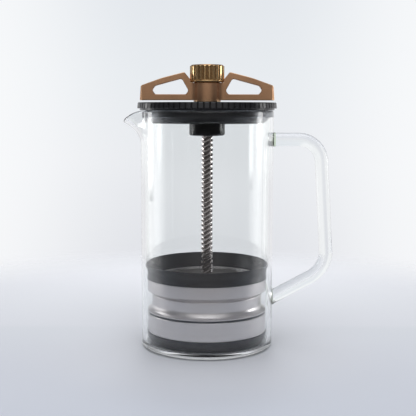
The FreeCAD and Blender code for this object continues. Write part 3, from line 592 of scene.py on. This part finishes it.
def build_world():
    w = bpy.data.worlds.new("studio")
    scene.world = w
    w.use_nodes = True
    t = w.node_tree
    t.nodes.clear()

    def add(kind, ins=None, **props):
        n = t.nodes.new(kind)
        for k, v in props.items():
            setattr(n, k, v)
        for k, v in (ins or {}).items():
            if isinstance(v, bpy.types.NodeSocket):
                t.links.new(v, n.inputs[k])
            else:
                n.inputs[k].default_value = v
        return n

    def mth(op, a, b=0.0, clamp=False):
        return add("ShaderNodeMath", {0: a, 1: b}, operation=op, use_clamp=clamp).outputs[0]

    def rng(v, a, b, c=0.0, d=1.0, smooth=True):
        return add("ShaderNodeMapRange", {"Value": v, "From Min": a, "From Max": b, "To Min": c, "To Max": d},
                   interpolation_type="SMOOTHSTEP" if smooth else "LINEAR").outputs[0]

    def curve(v, pts):
        """colour ramp over v: pts of (value, (r, g, b)), v from pts[0] to pts[-1]"""
        lo, hi = pts[0][0], pts[-1][0]
        n = add("ShaderNodeValToRGB", {"Fac": rng(v, lo, hi, smooth=False)})
        els = n.color_ramp.elements
        while len(els) < len(pts):
            els.new(0.5)
        for e, (p, c) in zip(els, pts):
            e.position = (p - lo) / (hi - lo)
            e.color = (*c, 1)
        return n.outputs[0]

    d = add("ShaderNodeTexCoord").outputs["Generated"]
    s = add("ShaderNodeSeparateXYZ", {0: d})
    x, y, z = s.outputs[0], s.outputs[1], s.outputs[2]
    ax = mth("ABSOLUTE", x)
    DEG = 180 / math.pi
    az = mth("MULTIPLY", mth("ARCTAN2", ax, mth("MULTIPLY", y, -1.0)), DEG)      # 0 in front, 180 behind
    el = mth("MULTIPLY", mth("ARCSINE", z), DEG)
    # studio: dim behind the camera, bright at the sides and the back
    def blend(f, a, b):
        n = add("ShaderNodeMix", data_type="RGBA")
        t.links.new(f, n.inputs[0])
        t.links.new(a, n.inputs[6])
        t.links.new(b, n.inputs[7])
        return n.outputs[2]
    studio = blend(rng(el, -5.5, -2.5), curve(az, LOW_AZ), curve(az, STUDIO_AZ))
    studio = blend(rng(el, 4.0, 11.0), studio, curve(az, HIGH_AZ))
    dip = rng(az, 20.0, 50.0)
    over = rng(mth("SUBTRACT", el, mth("MULTIPLY", dip, 24.0)), 36.0, 52.0)
    top = add("ShaderNodeMix", {}, data_type="RGBA")
    t.links.new(over, top.inputs[0])
    t.links.new(studio, top.inputs[6])
    top.inputs[7].default_value = (*TOP_COLOUR, 1)
    base = top.outputs[2]
    # a tall soft box, a little behind the object on the right
    def box(a0, a1, side, power):
        m = mth("MULTIPLY", rng(az, a0 - 1.2, a0 + 1.2), rng(az, a1 - 1.2, a1 + 1.2, 1.0, 0.0))
        m = mth("MULTIPLY", m, rng(el, -5.5, 0.5))
        m = mth("MULTIPLY", m, rng(el, 9.0, 17.0, 1.0, 0.0))
        m = mth("MULTIPLY", m, mth("GREATER_THAN", mth("MULTIPLY", x, side), 0.0))
        return mth("MULTIPLY", m, power)
    boxes = box(*BOX_RIGHT)
    vec = add("ShaderNodeCombineXYZ", {0: boxes, 1: boxes, 2: boxes}).outputs[0]
    lit = add("ShaderNodeVectorMath", {0: base, 1: vec}, operation="ADD").outputs[0]
    # what the lens and clear glass see behind the object
    back = curve(el, BACK_EL)
    side = rng(ax, 0.06, 0.26)
    wide = add("ShaderNodeMix", {}, data_type="RGBA", blend_type="MIX")
    t.links.new(mth("MULTIPLY", side, 0.75), wide.inputs[0])
    t.links.new(back, wide.inputs[6])
    wide.inputs[7].default_value = (*lin(252, 253, 254), 1)
    path = add("ShaderNodeLightPath")
    # glass seen straight through shows the pale backdrop from every side; a ray that has been reflected sees the room
    straight = mth("MAXIMUM", path.outputs["Glossy Depth"], path.outputs["Diffuse Depth"])
    straight = mth("LESS_THAN", straight, 0.5)
    onward = mth("MULTIPLY", path.outputs["Is Transmission Ray"], straight)
    seen = mth("MAXIMUM", path.outputs["Is Camera Ray"], onward)
    # the bright walls at the sides, as the metal inside the glass sees them
    glow = mth("MULTIPLY", rng(az, 84.0, 97.0), rng(az, 116.0, 130.0, 1.0, 0.0))
    glow = mth("MULTIPLY", glow, mth("MULTIPLY", rng(el, -20.0, -11.0), rng(el, 9.0, 17.0, 1.0, 0.0)))
    glow = mth("MULTIPLY", mth("MULTIPLY", glow, 1.3), path.outputs["Is Transmission Ray"])
    glow = add("ShaderNodeCombineXYZ", {0: glow, 1: glow, 2: glow}).outputs[0]
    lit = add("ShaderNodeVectorMath", {0: lit, 1: glow}, operation="ADD").outputs[0]
    pick = add("ShaderNodeMix", {}, data_type="RGBA")
    t.links.new(seen, pick.inputs[0])
    t.links.new(lit, pick.inputs[6])
    t.links.new(wide.outputs[2], pick.inputs[7])
    bg = add("ShaderNodeBackground", {"Color": pick.outputs[2], "Strength": 1.0})
    t.links.new(bg.outputs[0], add("ShaderNodeOutputWorld").inputs["Surface"])
    w.cycles.sampling_method = "MANUAL"
    w.cycles.sample_map_resolution = 1024


LOW_AZ = [(0.0, (0.36, 0.34, 0.34)), (35.0, (0.33, 0.32, 0.325)), (65.0, (0.30, 0.30, 0.31)), (90.0, (0.42, 0.42, 0.43)),
          (115.0, (0.76, 0.76, 0.78)), (180.0, (0.84, 0.84, 0.87))]
STUDIO_AZ = [(0.0, (0.03, 0.03, 0.03)), (35.0, (0.03, 0.03, 0.032)), (60.0, (0.05, 0.05, 0.055)), (85.0, (0.16, 0.16, 0.17)),
             (105.0, (0.50, 0.505, 0.52)), (135.0, (0.90, 0.91, 0.93)), (180.0, (0.92, 0.93, 0.95))]
HIGH_AZ = [(0.0, (1.05, 1.04, 1.04)), (26.0, (0.96, 0.95, 0.95)), (44.0, (0.34, 0.34, 0.35)), (70.0, (0.14, 0.14, 0.15)),
           (95.0, (0.20, 0.20, 0.22)), (115.0, (0.30, 0.305, 0.32)), (140.0, (0.36, 0.365, 0.38)), (180.0, (0.45, 0.455, 0.47))]
TOP_COLOUR = (1.62, 1.62, 1.65)
BOX_RIGHT = (97.5, 109.8, 1.0, 5.0)
BACK_EL = [(-90.0, lin(222, 225, 231)), (-14.0, lin(222, 225, 231)), (-9.0, lin(226, 228, 233)), (-3.3, lin(234, 236, 240)),
           (2.1, lin(232, 236, 240)), (7.0, lin(228, 232, 237)), (30.0, lin(226, 231, 236)), (90.0, lin(226, 231, 236))]
build_world()

def reflector(name, centre, face, width, z0, z1, power):
    """tall strip light seen only as a reflection; it fades out towards its lower end"""
    me = bpy.data.meshes.new(name)
    c = Vector((centre[0], centre[1], 0.0))
    n = Vector((face[0] - centre[0], face[1] - centre[1], 0.0)).normalized()
    s = Vector((-n.y, n.x, 0.0)) * width / 2
    me.from_pydata([c - s + Vector((0, 0, z0)), c + s + Vector((0, 0, z0)), c + s + Vector((0, 0, z1)),
                    c - s + Vector((0, 0, z1))], [], [(0, 1, 2, 3)])
    m = Mat(name)
    x, y, z = m.split()
    e = m.math("MULTIPLY", m.range(z, z0, z0 + 0.03, 0.0, 1.0, True), power)
    glow = m.add("ShaderNodeEmission", {"Color": (1, 1, 1, 1), "Strength": e}).outputs[0]
    clear = m.add("ShaderNodeBsdfTransparent", {"Color": (1, 1, 1, 1)}).outputs[0]
    met = m.math("GREATER_THAN", m.add("ShaderNodeLightPath").outputs["Glossy Depth"], 0.5)
    m.surface(m.add("ShaderNodeMixShader", {0: met, 1: clear, 2: glow}).outputs[0])
    me.materials.append(m.mat)
    o = bpy.data.objects.new(name, me)
    scene.collection.objects.link(o)
    for flag in ("visible_camera", "visible_diffuse", "visible_volume_scatter", "visible_shadow"):
        setattr(o, flag, False)


reflector("strip_left", (-0.194, 0.046), (-0.02, 0.0), 0.040, 0.095, 0.22, 5.0)

# a soft light high behind the object, which lays its shadow forwards
def soft_light(name, place, aim, size, size_y, power):
    lamp = bpy.data.lights.new(name, "AREA")
    lamp.shape = "RECTANGLE"
    lamp.size, lamp.size_y = size, size_y
    lamp.energy = power
    o = bpy.data.objects.new(name, lamp)
    scene.collection.objects.link(o)
    o.matrix_world = (Matrix.Translation(place)
                      @ (Vector(place) - Vector(aim)).to_track_quat("Z", "Y").to_matrix().to_4x4())
    for flag in ("visible_camera", "visible_glossy", "visible_transmission"):
        setattr(o, flag, False)


soft_light("back_light", (0.0, 0.55, 0.42), (0.0, -0.05, 0.0), 0.26, 0.12, 1.15)
soft_light("top_light", (0.0, -0.05, 0.9), (0.0, -0.02, 0.0), 0.9, 0.9, 2.2)

cam_data = bpy.data.cameras.new("camera")
cam = bpy.data.objects.new("camera", cam_data)
scene.collection.objects.link(cam)
cam_data.lens = 73.62
cam_data.sensor_width = 36.0
cam_data.clip_start, cam_data.clip_end = 0.01, 20.0
cam.matrix_world = (Matrix.Translation((0.0008, -0.6443, 0.17895)) @ Matrix.Rotation(math.radians(90 - 6.545), 4, "X")
                    @ Matrix.Rotation(0.0016, 4, "Z"))
scene.camera = cam

scene.view_settings.view_transform = "Standard"
scene.view_settings.look = "None"
scene.cycles.max_bounces = 24
scene.cycles.transmission_bounces = 20
scene.cycles.glossy_bounces = 8
scene.cycles.diffuse_bounces = 4
scene.cycles.transparent_max_bounces = 24
scene.cycles.caustics_reflective = False
scene.cycles.caustics_refractive = False
